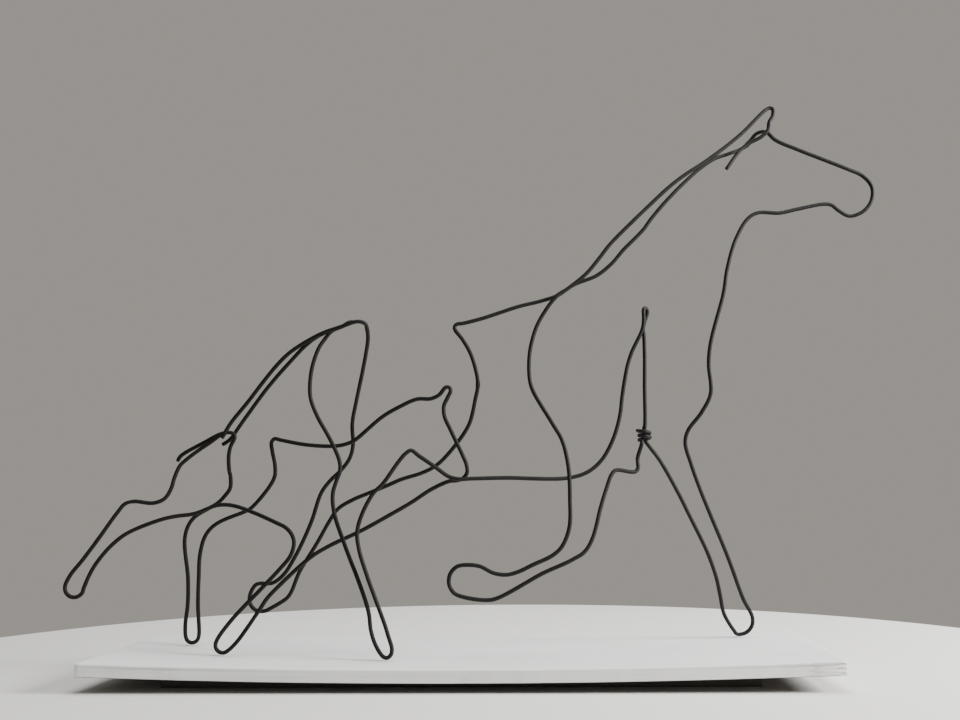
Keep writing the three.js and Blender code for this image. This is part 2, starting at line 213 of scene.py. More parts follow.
MARE_BELLY_AND_NEAR_HIND_LEG: tuple[Point, ...] = (
    # end hooked behind the foal's croup
    (-145.4, 7.4, 133.7), (-141.7, 7.8, 136.1), (-139.5, 8, 138.4), (-136.2, 7.6, 143.2),
    # tail
    (-122.8, 2, 158.9), (-111, -3, 171.5), (-98.4, -8, 183.4), (-90.5, -9.8, 190.9), (-81.1, -10.1, 197),
    # croup, where the wire is folded back along itself
    (-68.5, -10.1, 201.6), (-64.7, -10, 203.3), (-63.1, -10.6, 203.7), (-62.5, -12.1, 203.8),
    (-63.1, -13.6, 203.5), (-64.7, -14.2, 202.7), (-67.7, -14.2, 200.9), (-73.1, -14, 198.9),
    # buttock
    (-75.2, -13.9, 197.4), (-78.3, -14.4, 193.2), (-81.6, -15.6, 187.7), (-85, -16.1, 177.4),
    (-86.6, -15.6, 167), (-86, -15.3, 158), (-81.8, -15, 147.5), (-73, -15, 131.7), (-68.6, -15.7, 121.5),
    # back of the leg
    (-68.3, -16, 116), (-70.3, -17, 109.7), (-71.8, -18, 103), (-71, -19.4, 93.2), (-65.1, -22, 77),
    (-49.7, -28, 39.4), (-47.7, -29.4, 28), (-44.9, -30.8, 20.2),
    # hoof
    (-40.7, -31.9, 14.4), (-38.4, -32, 13.7), (-36.3, -31.9, 15.4), (-35.8, -31.6, 18.5),
    # front of the leg
    (-37.9, -30.5, 25.2), (-42.5, -29, 37.3), (-49.8, -27.4, 55.6), (-55.4, -26, 72.8), (-56.3, -25.6, 81.4),
    (-53.4, -25, 92.2), (-47.5, -23.7, 103),
    # flank
    (-42.4, -23, 108), (-34.2, -21.1, 119.6), (-29.5, -20, 125.3), (-26.5, -19.5, 127), (-22, -18.7, 123.8),
    (-12.5, -17, 117), (-5.5, -15.5, 111.8),
    # belly
    (0, -15.3, 110.3), (8, -13.9, 110.5), (26, -9, 110.7), (62, 1, 110.4), (74.5, 3.2, 113.8),
    # girth
    (83.2, 5, 121), (90.7, 6.5, 134.4), (94.8, 8, 148), (96.4, 9, 158.8), (99.3, 10, 173.2),
    (102.9, 10.9, 184.6), (110, 11.7, 199),
    # fold behind the shoulder
    (111, 11.7, 204), *turn((112.4, 13.4, 210.4), 2.1, 180, 0, 50),
    # straight down, its end held in the knot
    (111.7, 15, 204.2), (110.6, 14.8, 199.9), (111, 14.4, 196), (109.5, 11.3, 143), (109, 11.25, 138),
    (109, 11.25, 132.6),
)

FOAL: tuple[Point, ...] = (
    # tail
    (-172, 5, 124), (-170.4, 5, 126.8), (-166.9, 5, 129.4), (-155.9, 5, 135.1),
    # croup
    (-146.8, 5, 139.8), (-143.1, 5, 140.8), (-140.3, 5, 140.9), (-137.6, 5, 139.9), (-137, 5, 137.8),
    # buttock
    (-139.6, 5.5, 132.4), (-140.7, 5.8, 126.8), (-140.5, 6.5, 118), (-139.7, 6.7, 114.5), (-140, 7.4, 107.5),
    (-143.3, 8, 103), (-147.5, 8.4, 98.9), (-162, 9.3, 90.4),
    # far hind leg, back
    (-166, 9.8, 85.3), (-168.2, 10.6, 77), (-166.4, 13, 54), (-166.7, 14.4, 38.3), (-168.2, 15.5, 26.5),
    # far hind hoof
    *turn((-163.9, 16, 20.1), 4, 190, 355),
    # far hind leg, front
    (-160.2, 14.2, 38.3), (-159.8, 13, 53.7), (-159.2, 12.1, 67.3), (-156.6, 11.4, 77.8), (-153, 11, 83.2),
    (-147, 10, 87.5), (-131.3, 7.8, 93.2), (-127, 7.2, 95.3), (-115.2, 4.9, 108), (-111.8, 4, 114.3),
    (-111.7, 3.7, 120.3),
    # loin corner
    (-113.3, 3.2, 129), (-113.8, 3, 134.4), (-111.8, 2.5, 136.4), (-108.1, 1.5, 135.6),
    # back and crest of the neck
    (-92, -1.5, 132.4), (-75, -3.5, 131.2), (-67, -4.5, 132.2), (-61.8, -5.1, 134.3), (-45.5, -7.5, 147.1),
    (-34.8, -9, 153), (-24.2, -10.1, 157.2), (-16, -11, 157.2),
    # ear
    (-11, -11.5, 159.4), *turn((-6.3, -12, 161.8), 2, 145, -15), (-6.2, -12, 157.4), (-8.3, -12, 152.8),
    # face
    (-8, -12.1, 146.9), (-4.7, -12.3, 139.3), (2.3, -12.5, 124.4), (4.6, -12.5, 118.4),
    # muzzle
    (4.8, -11.9, 114), (2.8, -11.5, 111.2), (-0.5, -11.6, 109.7), (-5.5, -12, 109.2),
    # breast
    (-15.5, -12, 105), (-27.5, -12.5, 97.4), (-42, -13, 89.4), (-57.5, -14, 81.1), (-74.6, -15, 73.4),
    # near foreleg, front
    (-84.7, -16, 67.4), (-102.5, -18, 51.5), (-109, -18.5, 44.7), (-113.6, -19, 37.8), (-124.7, -20.5, 22),
    # near foreleg, hoof
    *turn((-133.1, -21.3, 19.6), 4.3, -40, -210),
    # near foreleg, back
    (-130.3, -20, 31.4), (-111.4, -17, 51.5), (-103.3, -15.4, 60.3),
    # belly
    (-97, -14, 68.3), (-95.4, -12.8, 75.5), (-96.9, -12, 80), (-100.8, -10.5, 84), (-107.2, -9, 87),
    (-125.3, -4.2, 94.2), (-132.2, -3.1, 96.5), (-139, -3, 97.7), (-145, -3.1, 97.3),
    # near hind leg, front
    (-157.5, -4.6, 92.6), (-168.4, -6, 91.2), (-177, -7.1, 89.2), (-195.8, -8.7, 81.8), (-205, -9.3, 74.6),
    (-212.6, -10, 65.6), (-216.4, -10.3, 59.2),
    # near hind hoof
    *turn((-225.2, -11, 51.2), 5.7, 0, -185),
    # near hind leg, back
    (-228.2, -11, 57.9), (-221.5, -10.2, 66.7), (-211.1, -9, 81.3), (-203, -7, 93.8), (-198.8, -6, 98.9),
    (-193.9, -5.4, 100.2), (-182.5, -3.9, 99.2), (-176.2, -3, 101.7), (-172.8, -2, 107.4),
    # end laid along the tail, under the croup
    (-171.2, -1, 114.2), (-168.5, 0, 121.1), (-165.1, 0.6, 124.6), (-158.2, 1.3, 130), (-151.1, 1.8, 134.8),
    (-144.5, 2, 139.4), (-141.6, 2, 140.3),
)

def unit(vectors: FloatArray) -> FloatArray:
    """Each row of an array divided by its length."""
    return vectors / np.linalg.norm(vectors, axis=-1, keepdims=True)


def wander(place: FloatArray, spacing: float, rng: np.random.Generator) -> FloatArray:
    """A smooth random line: random heights a spacing apart, with an eased slope from each to the next.

    Args:
        place: Distances at which the line is wanted, from 0 up, in the spacing's unit.
        spacing: Distance between two heights.
        rng: Source of the heights, about 1 either side of 0.

    Returns:
        The line's height at each distance.
    """
    heights = rng.standard_normal(int(np.max(place) / spacing) + 2)
    low = np.floor(place / spacing).astype(int)
    share = place / spacing - low
    ease = share * share * (3 - 2 * share)
    return heights[low] * (1 - ease) + heights[low + 1] * ease


def window(place: FloatArray, middle: float, width: float) -> FloatArray:
    """A flat-topped bump, 1 at the middle and near 0 a width away: e to the minus fourth power."""
    return np.exp(-(((place - middle) / width) ** 4))


def course(bends: Sequence[Point]) -> FloatArray:
    """The smooth line through a wire's bends: a centripetal Catmull-Rom curve.

    Between two bends it is the cubic that leaves each at the slope of its neighbours' chords, each chord
    timed by the square root of its length.

    Args:
        bends: The bends, in millimetres.

    Returns:
        Close points along the line, one row each, in millimetres.
    """
    at = np.asarray(bends, dtype=float)
    at = np.vstack((2 * at[0] - at[1], at, 2 * at[-1] - at[-2]))
    times = np.sum(np.diff(at, axis=0) ** 2, axis=1, keepdims=True) ** 0.25
    before, during, after = times[:-2], times[1:-1], times[2:]
    first, start, end, last = at[:-3], at[1:-2], at[2:-1], at[3:]
    chord = (end - start) / during
    leaving = ((start - first) / before - (end - first) / (before + during) + chord) * during
    arriving = (chord - (last - start) / (during + after) + (last - end) / after) * during
    share = (np.arange(SAMPLES_PER_BEND) / SAMPLES_PER_BEND)[None, :, None]
    start, end = start[:, None], end[:, None]
    leaving, arriving = leaving[:, None], arriving[:, None]
    square, cube = share**2, share**3
    line = start + leaving * share + (3 * (end - start) - 2 * leaving - arriving) * square
    line = line + (2 * (start - end) + leaving + arriving) * cube
    return np.vstack((line.reshape(-1, 3), at[-2]))


@dataclass(frozen=True)
class Line:
    """A centre line ready to carry a section, with a frame that doesn't twist."""

    points: FloatArray
    distance: FloatArray
    tangent: FloatArray
    side: FloatArray
    up: FloatArray
    bend: FloatArray  # curvature, one over millimetres


REFERENCE = np.array([0.29, 0.61, 0.74])  # a direction that no stretch of wire runs along


def carry_frame(points: FloatArray) -> Line:
    """Works out a line's frame.

    Side is square to the line and to a fixed reference. That frame twists, so the twist from each point
    to the next is measured against the least turn that takes one tangent to the other, and the running
    sum of the twists is turned back.

    Args:
        points: Points along the line, in millimetres.

    Returns:
        The line with its distances, tangents, two normals and curvature.
    """
    chord = np.diff(points, axis=0)
    distance = np.concatenate(([0.0], np.cumsum(np.linalg.norm(chord, axis=1))))
    tangent = unit(np.gradient(points, distance, axis=0))
    side = unit(np.cross(tangent, REFERENCE))
    up = np.cross(tangent, side)
    axis = np.cross(tangent[:-1], tangent[1:])
    cosine = np.sum(tangent[:-1] * tangent[1:], axis=1, keepdims=True)
    along_axis = np.sum(axis * side[:-1], axis=1, keepdims=True)
    moved = side[:-1] * cosine + np.cross(axis, side[:-1]) + axis * along_axis / (1 + cosine)
    twist = np.arctan2(np.sum(moved * up[1:], axis=1), np.sum(moved * side[1:], axis=1))
    turned = np.concatenate(([0.0], np.cumsum(twist)))[:, None]
    even_side = np.cos(turned) * side + np.sin(turned) * up
    bend = np.linalg.norm(np.gradient(tangent, distance, axis=0), axis=1)
    return Line(points, distance, tangent, even_side, np.cross(tangent, even_side), bend)


def respace(line: FloatArray, run: float, turned: float) -> FloatArray:
    """Points along a line that stand close where it bends and wider where it runs straight.

    Each step uses up one run of length, or one turn of the tangent, or shares of both.

    Args:
        line: Close points along the line.
        run: Length of a straight step.
        turned: Turn of a step, in radians.

    Returns:
        The line's new points.
    """
    chord = np.diff(line, axis=0)
    length = np.linalg.norm(chord, axis=1)
    heading = chord / length[:, None]
    cosine = np.clip(np.sum(heading[:-1] * heading[1:], axis=1), -1, 1)
    used = length / run + np.concatenate(([0.0], np.arccos(cosine))) / turned
    total = np.concatenate(([0.0], np.cumsum(used)))
    wanted = np.linspace(0, total[-1], math.ceil(total[-1]) + 1)
    return np.column_stack([np.interp(wanted, total, line[:, axis]) for axis in range(3)])


def make_piece(
    name: str, points: FloatArray, quads: IntArray, lids: Sequence[Sequence[int]]
) -> bpy.types.Object:
    """Puts a worked-out surface into a mesh object at the origin.

    Args:
        name: The piece's name.
        points: Its points, in millimetres.
        quads: Its four-sided faces, one row of point numbers each.
        lids: Further faces of any number of sides.

    Returns:
        The smooth-shaded object, linked to the scene.
    """
    mesh = bpy.data.meshes.new(name)
    mesh.from_pydata(points * MM, [], [*quads.tolist(), *lids])
    mesh.polygons.foreach_set("use_smooth", np.ones(len(mesh.polygons), dtype=bool))
    mesh.set_sharp_from_angle(angle=SHARP_ANGLE)
    mesh.update()
    piece = bpy.data.objects.new(name, mesh)
    bpy.context.scene.collection.objects.link(piece)
    return piece


def add_mask(piece: bpy.types.Object, name: str, values: FloatArray) -> None:
    """Stores one number per point of a piece, as an attribute that its finish reads."""
    layer = piece.data.attributes.new(name, "FLOAT", "POINT")
    layer.data.foreach_set("value", values.ravel().astype(np.float32))


def add_vectors(piece: bpy.types.Object, name: str, values: FloatArray) -> None:
    """Stores one vector per point of a piece, as an attribute that its finish reads."""
    layer = piece.data.attributes.new(name, "FLOAT_VECTOR", "POINT")
    layer.data.foreach_set("vector", values.ravel().astype(np.float32))


def settle(piece: bpy.types.Object, material: bpy.types.Material, slot: Slot, *nodes: str) -> None:
    """Gives a piece its finish and its place in the frame.

    Args:
        piece: The finished piece.
        material: Its finish.
        slot: The record's slot for that finish.
        nodes: The CAD nodes that it stands for.
    """
    piece.data.materials.append(material)
    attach(piece, BODY)
    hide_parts(*nodes)
    log.info("%s: %d faces, %s", piece.name, len(piece.data.polygons), slot.value)


class Cut(Enum):
    """How a wire's end was cut."""

    PINCHED = 0.22  # squeezed to a chisel edge by side cutters: the edge's thickness over the wire's
    BLUNT = 0.72  # cropped nearly square


@dataclass(frozen=True)
class Nick:
    """A burr or a dent that a tool left at one place on a wire."""

    place: Point
    rise: float  # proud of the wire if above 0, sunk if below, in millimetres
    reach: float = 1.6


@dataclass(frozen=True)
class Wire:
    """One length of wire: a round section carried along the curve through its bends."""

    name: str
    node: str
    bends: tuple[Point, ...]
    seed: int
    start_cut: Cut = Cut.PINCHED
    end_cut: Cut = Cut.PINCHED
    nicks: tuple[Nick, ...] = ()
    radius: float = 1.19
    sides: int = 24
    step: float = 0.62
    step_turn: float = math.radians(9)
    kink: float = 0.07  # how far the hand's small kinks stray from the smooth curve
    cut_length: float = 1.5
    side_waves: tuple[tuple[float, float], ...] = ((9, 0.6), (23, 1.0))  # the kinks' spacings and shares
    up_waves: tuple[tuple[float, float], ...] = ((8, 0.6), (27, 1.0))
    still_end: float = 12.0  # stretch at each end over which the kinks die away
    grip_bend: float = 0.16  # the wire's radius over the bend's, above which pliers made the bend
    grip_gap: float = 7.0  # least distance between two grips
    jaw_reach: float = 1.7  # half the width of the pliers' jaws
    tooth_pitch: float = 0.9
    tooth_depth: float = 0.025  # as a share of the wire's radius

    def line(self, rng: np.random.Generator) -> Line:
        """The wire's centre line: the curve through its bends, with small kinks across it."""
        smooth = carry_frame(respace(course(self.bends), self.step, self.step_turn))
        ends = np.minimum(smooth.distance, smooth.distance[-1] - smooth.distance)
        free = np.clip(ends / self.still_end, 0, 1) * self.kink
        across = sum(wander(smooth.distance, gap, rng) * share for gap, share in self.side_waves)
        upward = sum(wander(smooth.distance, gap, rng) * share for gap, share in self.up_waves)
        sideways = smooth.side * (free * across)[:, None]
        return carry_frame(smooth.points + sideways + smooth.up * (free * upward)[:, None])

    def grips(self, line: Line) -> list[float]:
        """Distances along the wire where pliers gripped it: beside each tight bend, never close together."""
        tight = line.bend * self.radius > self.grip_bend
        peak = tight[1:-1] & (line.bend[1:-1] >= line.bend[:-2]) & (line.bend[1:-1] >= line.bend[2:])
        found: list[float] = []
        for place in line.distance[1:-1][peak]:
            if not found or place - found[-1] > self.grip_gap:
                found.append(float(place))
        return found

    def radii(self, line: Line, around: FloatArray, rng: np.random.Generator) -> FloatArray:
        """The wire's radius at each place along it and each angle round it.

        It is the drawn radius, times slow changes of thickness and fine draw lines, less the two facing
        flats of each plier grip with their teeth, and thinned a little all round where it bends.

        Args:
            line: The centre line.
            around: Angles round the section, one row.
            rng: Source of every random choice.

        Returns:
            Radii in millimetres, a row for each place.
        """
        along = line.distance[:, None]
        thick = 1 + 0.010 * wander(line.distance, 5, rng) + 0.006 * wander(line.distance, 1.7, rng)
        drift = wander(line.distance, 30, rng)[:, None]
        phases = rng.random(3) * 6
        lines = sum(np.cos(count * around + phase + drift) for count, phase in zip((3, 5, 8), phases))
        radius = self.radius * thick[:, None] * (1 + 0.004 * lines)
        for grip in self.grips(line):
            facing = rng.random() * math.pi
            place = grip + rng.choice((-1.0, 1.0)) * rng.uniform(1.8, 3.0)
            teeth = self.tooth_depth * np.sin(along * (2 * math.pi / self.tooth_pitch) + facing)
            depth = (rng.uniform(0.05, 0.13) + teeth) * window(along, place, self.jaw_reach)
            flat = self.radius * (1 - depth) / np.maximum(np.abs(np.cos(around - facing)), 0.2)
            radius = np.minimum(radius, np.where(depth > 0.004, flat, radius))
        for nick in self.nicks:
            near = int(np.argmin(np.linalg.norm(line.points - np.asarray(nick.place), axis=1)))
            facing = rng.random() * 2 * math.pi
            lobe = 0.5 + 0.5 * np.cos(around - facing)
            radius = radius + nick.rise * lobe * window(along, line.distance[near], nick.reach)
        strain = np.clip(line.bend * self.radius, 0, 0.8)[:, None]
        return radius * (1 - 0.05 * strain)

    def surface(
        self, line: Line, radius: FloatArray, around: FloatArray, rng: np.random.Generator
    ) -> FloatArray:
        """The wire's rings of points.

        A point is the centre line's, plus its radius times the cosine of its angle along side and the sine
        along up. Near a cut end the section is squeezed along one direction, down to the cut's thickness.

        Args:
            line: The centre line.
            radius: The radius at each place and angle.
            around: Angles round the section, one row.
            rng: Source of the cuts' directions.

        Returns:
            An array of places by angles by three.
        """
        across = radius * np.cos(around)
        upward = radius * np.sin(around)
        from_end = line.distance[-1] - line.distance
        for cut, away in ((self.start_cut, line.distance), (self.end_cut, from_end)):
            tilt = rng.random() * math.pi
            squeeze = 1 - (1 - cut.value) * np.clip(1 - away / self.cut_length, 0, 1)[:, None] ** 1.4
            pinch = across * math.cos(tilt) + upward * math.sin(tilt)
            across = across + (squeeze - 1) * pinch * math.cos(tilt)
            upward = upward + (squeeze - 1) * pinch * math.sin(tilt)
        rings = line.points[:, None] + across[..., None] * line.side[:, None]
        return rings + upward[..., None] * line.up[:, None]

    def build(self, material: bpy.types.Material) -> bpy.types.Object:
        """Makes the wire's piece.

        Args:
            material: The wire's finish.

        Returns:
            The finished piece, in its place.
        """
        rng = np.random.default_rng(self.seed)
        line = self.line(rng)
        around = np.arange(self.sides)[None, :] * (2 * math.pi / self.sides)
        radius = self.radii(line, around, rng)
        rings = self.surface(line, radius, around, rng)
        count = len(line.points)
        number = np.arange(count * self.sides).reshape(count, self.sides)
        beside = np.roll(number, -1, axis=1)
        quads = np.stack((number[:-1], beside[:-1], beside[1:], number[1:]), axis=-1).reshape(-1, 4)
        lids = [number[0, ::-1].tolist(), number[-1].tolist()]
        piece = make_piece(self.name, rings.reshape(-1, 3), quads, lids)
        shape = (count, self.sides)
        circle = (np.cos(around), np.sin(around), line.distance[:, None])
        grain = np.stack([np.broadcast_to(values, shape) for values in circle], axis=-1)
        add_vectors(piece, "grain", grain)
        strain = np.convolve(np.clip(line.bend * self.radius * 1.6, 0, 1), np.ones(7) / 7, mode="same")
        add_mask(piece, "strain", np.broadcast_to(strain[:, None], shape))
        add_mask(piece, "dent", np.clip((self.radius - radius) / 0.12, 0, 1))
        settle(piece, material, Slot.WIRE, self.node)
        return piece


def shell_lattice(xs: FloatArray, ys: FloatArray, zs: FloatArray) -> tuple[FloatArray, IntArray]:
    """The skin of a box of lattice points, closed, with its faces pointing out.

    Args:
        xs: Places of the lattice's planes along X.
        ys: Places along Y.
        zs: Places along Z.

    Returns:
        The skin's points and its four-sided faces.
    """
    grid = np.stack(np.meshgrid(xs, ys, zs, indexing="ij"), axis=-1)
    on_skin = np.zeros(grid.shape[:3], dtype=bool)
    on_skin[[0, -1]] = True
    on_skin[:, [0, -1]] = True
    on_skin[:, :, [0, -1]] = True
    number = np.full(grid.shape[:3], -1)
    number[on_skin] = np.arange(np.count_nonzero(on_skin))
    sheets = (
        (number[:, :, -1], False), (number[:, :, 0], True),
        (number[-1], False), (number[0], True),
        (number[:, 0], False), (number[:, -1], True),
    )
    faces = []
    for sheet, flipped in sheets:
        corners = (sheet[:-1, :-1], sheet[1:, :-1], sheet[1:, 1:], sheet[:-1, 1:])
        quad = np.stack(corners, axis=-1).reshape(-1, 4)
        faces.append(quad[:, ::-1] if flipped else quad)
    return grid[on_skin], np.concatenate(faces)


def planes(half: float, edge: float, spacing: float, rim_steps: int = 3) -> FloatArray:
    """Places of lattice planes across a box: evenly spaced, and close together in its rounded rims."""
    share = np.linspace(0, 1, rim_steps, endpoint=False)
    rim = half - edge * (1 - share)
    middle = np.linspace(-(half - edge), half - edge, max(2, round(2 * (half - edge) / spacing) + 1))
    return np.concatenate((-half + edge * share, middle, rim[1:], [half]))


def round_box(points: FloatArray, half: FloatArray, edge: float) -> tuple[FloatArray, FloatArray]:
    """Rounds a box's edges.

    A point of the skin is moved to the nearest point of the smaller box inside it, and out again by the
    edge's radius.

    Args:
        points: Points on the sharp box's skin.
        half: Half the box's sizes.
        edge: Radius of its rounded edges.

    Returns:
        The moved points and their outward directions.
    """
    inner = np.clip(points, edge - half, half - edge)
    out = unit(points - inner)
    return inner + out * edge, out


@dataclass(frozen=True)
class Plinth:
    """The thin painted board, its ends lifted by warp, and the recessed foot under it."""

    warp: float = 3.7
    foot_height: float = 5.0
    foot_length: float = 320.0
    foot_depth: float = 85.0
    foot_overlap: float = 3.0
    foot_edge: float = 0.4
    foot_lattice: Point = (8.0, 6.0, 2.0)
    edge: float = 0.7
    lattice: Point = (2.6, 0.85, 0.42)  # spacing of the board's points along X, Y and Z
    fray_length: float = 34.0  # stretch of the near right corner where the board's layers have opened
    seam_drop: float = 1.7  # how far below the top its facing sheet ends
    layer_pitch: float = 2.3  # height of one opened layer
    corner_reach: float = 7.0  # how far from the near right corner its rounding starts
    seed: int = 41

    def board(self, material: bpy.types.Material) -> bpy.types.Object:
        """Makes the board.

        The rounded box is worn in along its edges, brushed on top, grooved on its near side by the facing
        sheet's seam and by the opened layers, and lifted by the warp, which grows as the square of the
        distance from the middle.

        Args:
            material: The paint.

        Returns:
            The finished piece.
        """
        low, high = (np.array(corner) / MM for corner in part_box("plinth"))
        thickness = high[2] - self.warp - self.foot_height
        half = np.array([(high[0] - low[0]) / 2, (high[1] - low[1]) / 2, thickness / 2])
        lattice = [planes(size, self.edge, spacing) for size, spacing in zip(half, self.lattice)]
        skin, quads = shell_lattice(*lattice)
        points, out = round_box(skin, half, self.edge)
        rng = np.random.default_rng(self.seed)
        x, y, z = points.T
        along = x + half[0]
        across = y + half[1]
        near = np.clip(-out[:, 1], 0, 1)
        end = np.clip(np.abs(out[:, 0]), 0, 1)
        top = np.clip(out[:, 2], 0, 1)
        # Wear in millimetres: its mean, then what comes and goes along the edge
        worn = 0.18 + 0.10 * wander(along, 14, rng) + 0.05 * wander(along, 4, rng)
        side_wear = np.clip(worn, 0, 0.5) * np.abs(out[:, 1])
        end_worn = 0.25 + 0.2 * wander(across, 9, rng) + 0.12 * wander(across, 2.5, rng)
        end_wear = np.clip(end_worn, 0, 0.8) * end
        # Opened layers, ragged bands that fade away from the near right corner
        fray = np.clip(1 - (half[0] - x) / self.fray_length, 0, 1) ** 0.6 * near
        layer = z + 0.7 * wander(along, 5, rng) + 0.3 * wander(along, 1.9, rng) + 0.02 * along
        ragged = np.clip(0.45 + 0.6 * wander(along, 3.1, rng), 0, 1)
        opened = (0.5 + 0.5 * np.sin(layer * (2 * math.pi / self.layer_pitch))) ** 2 * fray * ragged
        # The facing sheet's edge, which shows in stretches
        seam_line = half[2] - self.seam_drop + 0.12 * wander(along, 30, rng)
        seam = window(z, seam_line, 0.32) * near * np.clip(0.5 + 0.8 * wander(along, 45, rng), 0, 1)
        # Brush strokes, which run along the board
        strokes = 0.035 * wander(across + 0.6 * wander(along, 60, rng), 1.6, rng)
        strokes = strokes * np.clip(0.6 + 0.5 * wander(along, 38, rng), 0, 1.2)
        reach = self.corner_reach
        corner = np.maximum(0, x - half[0] + reach) * np.maximum(0, -y - half[1] + reach) / reach**2
        points[:, 0] -= np.sign(x) * end_wear + corner * 0.8
        points[:, 1] -= np.sign(y) * side_wear
        points[:, 1] += 0.15 * seam + 0.6 * opened + corner * 1.2
        points[:, 2] += (strokes - 0.12) * top
        points[:, 2] += self.foot_height + half[2] + self.warp * (points[:, 0] / half[0]) ** 2
        piece = make_piece("board", points, quads, [])
        rim = np.clip(1 - np.max(np.abs(out), axis=1), 0, 0.3) / 0.3
        add_mask(piece, "rim", rim)
        add_mask(piece, "opened", np.clip(0.35 * fray + 0.9 * opened + 0.5 * seam, 0, 1))
        # Painted shade: the underside is marked to be coloured near black, for the shadow under the board
        add_mask(piece, "painted_shade_under", (out[:, 2] < -0.6).astype(float))
        settle(piece, material, Slot.PAINT, "plinth")
        return piece

    def foot(self, material: bpy.types.Material) -> bpy.types.Object:
        """Makes the foot, a plain rounded box let into the board from below.

        Args:
            material: The paint, whose painted-shade mask colours the whole foot near black, as painted
                shade.

        Returns:
            The finished piece.
        """
        height = self.foot_height + self.foot_overlap
        half = np.array([self.foot_length, self.foot_depth, height]) / 2
        lattice = [planes(size, self.foot_edge, spacing) for size, spacing in zip(half, self.foot_lattice)]
        skin, quads = shell_lattice(*lattice)
        points, _ = round_box(skin, half, self.foot_edge)
        points[:, 2] += half[2]
        piece = make_piece("board_foot", points, quads, [])
        # Painted shade: the whole foot is marked to be coloured near black, for the dark gap under the board
        add_mask(piece, "painted_shade_under", np.ones(len(points)))
        add_mask(piece, "rim", np.zeros(len(points)))
        add_mask(piece, "opened", np.zeros(len(points)))
        settle(piece, material, Slot.PAINT, "plinth")
        return piece


class Shade:
    """A shader socket's output that takes part in plain arithmetic."""

    def __init__(self, tree: bpy.types.NodeTree, output: bpy.types.NodeSocket) -> None:
        """Wraps one output of a node in a tree."""
        self.tree = tree
        self.output = output

    def _math(self, operation: str, first: object, second: object = 0.0) -> "Shade":
        """Adds a Math node.

        Args:
            operation: The node's operation.
            first: A number or a shade.
            second: A number or a shade.

        Returns:
            The node's result.
        """
        node = self.tree.nodes.new("ShaderNodeMath")
        node.operation = operation
        for socket, value in zip(node.inputs, (first, second)):
            if isinstance(value, Shade):
                self.tree.links.new(value.output, socket)
            else:
                socket.default_value = float(value)
        return Shade(self.tree, node.outputs[0])

    def __add__(self, other: object) -> "Shade":
        """This plus another."""
        return self._math("ADD", self, other)

    __radd__ = __add__

    def __sub__(self, other: object) -> "Shade":
        """This less another."""
        return self._math("SUBTRACT", self, other)

    def __rsub__(self, other: object) -> "Shade":
        """Another less this."""
        return self._math("SUBTRACT", other, self)

    def __mul__(self, other: object) -> "Shade":
        """This times another."""
        return self._math("MULTIPLY", self, other)

    __rmul__ = __mul__

    def __truediv__(self, other: object) -> "Shade":
        """This over another."""
        return self._math("DIVIDE", self, other)

    def within(self, low: float, high: float) -> "Shade":
        """How far this is from low to high, from 0 to 1, and no further."""
        return self._math("MINIMUM", self._math("MAXIMUM", (self - low) / (high - low), 0.0), 1.0)


class Finish:
    """A node material around one Principled shader, and the ways its nodes are added."""

    def __init__(self, name: str) -> None:
        """Makes an empty finish of that name."""
        self.material = bpy.data.materials.new(name)
        self.material.use_nodes = True
        self.tree = self.material.node_tree
        self.tree.nodes.clear()
        self.shader = self.tree.nodes.new("ShaderNodeBsdfPrincipled")
        out = self.tree.nodes.new("ShaderNodeOutputMaterial")
        self.tree.links.new(self.shader.outputs[0], out.inputs["Surface"])

    def feed(self, node: bpy.types.Node, socket: str | int, value: object) -> None:
        """Links a shade to a node's socket, or sets the socket's own value."""
        if isinstance(value, Shade):
            self.tree.links.new(value.output, node.inputs[socket])
        else:
            node.inputs[socket].default_value = value

    def add(
        self,
        kind: str,
        settings: Mapping[str, object] | None = None,
        inputs: Mapping[str | int, object] | None = None,
        output: str | int = 0,
    ) -> Shade:
        """Adds a node.

        Args:
            kind: The node's type, without its ShaderNode prefix.
            settings: Its own settings, set before its sockets.
            inputs: A value or a shade for each socket named.
            output: The output that is wanted.

        Returns:
            That output.
        """
        node = self.tree.nodes.new(f"ShaderNode{kind}")
        for name, value in (settings or {}).items():
            setattr(node, name, value)
        for socket, value in (inputs or {}).items():
            self.feed(node, socket, value)
        return Shade(self.tree, node.outputs[output])

    def mask(self, name: str) -> Shade:
        """A number stored on the piece's points."""
        return self.add("Attribute", {"attribute_name": name}, output="Fac")

    def place(self, scale: Point) -> Shade:
        """The point's place on the piece in metres, times a scale along each axis."""
        here = self.add("TexCoord", output="Object")
        return self.add("Mapping", {}, {"Vector": here, "Scale": scale})

    def noise(self, vector: Shade, scale: float, detail: float = 3.0, roughness: float = 0.55) -> Shade:
        """Cloudy noise, about 0.3 to 0.7, over a vector, with a scale in clouds a metre."""
        values = {"Vector": vector, "Scale": scale, "Detail": detail, "Roughness": roughness}
        return self.add("TexNoise", {"noise_dimensions": "3D"}, values, "Fac")

    def blend(self, share: Shade | float, first: Shade | Colour, second: Shade | Colour) -> Shade:
        """The first colour where the share is 0, and the second where it is 1."""
        node = self.tree.nodes.new("ShaderNodeMix")
        node.data_type = "RGBA"
        factor, start, end = node.inputs[0], node.inputs[6], node.inputs[7]
        for socket, value in ((factor, share), (start, first), (end, second)):
            if isinstance(value, Shade):
                self.tree.links.new(value.output, socket)
            else:
                socket.default_value = value
        return Shade(self.tree, node.outputs[2])

    def relief(self, height: Shade, depth: float) -> None:
        """Raises the surface by a height, 0 to 1, times a depth in metres."""
        bump = self.add("Bump", {}, {"Height": height, "Distance": depth, "Strength": 1.0}, "Normal")
        self.feed(self.shader, "Normal", bump)


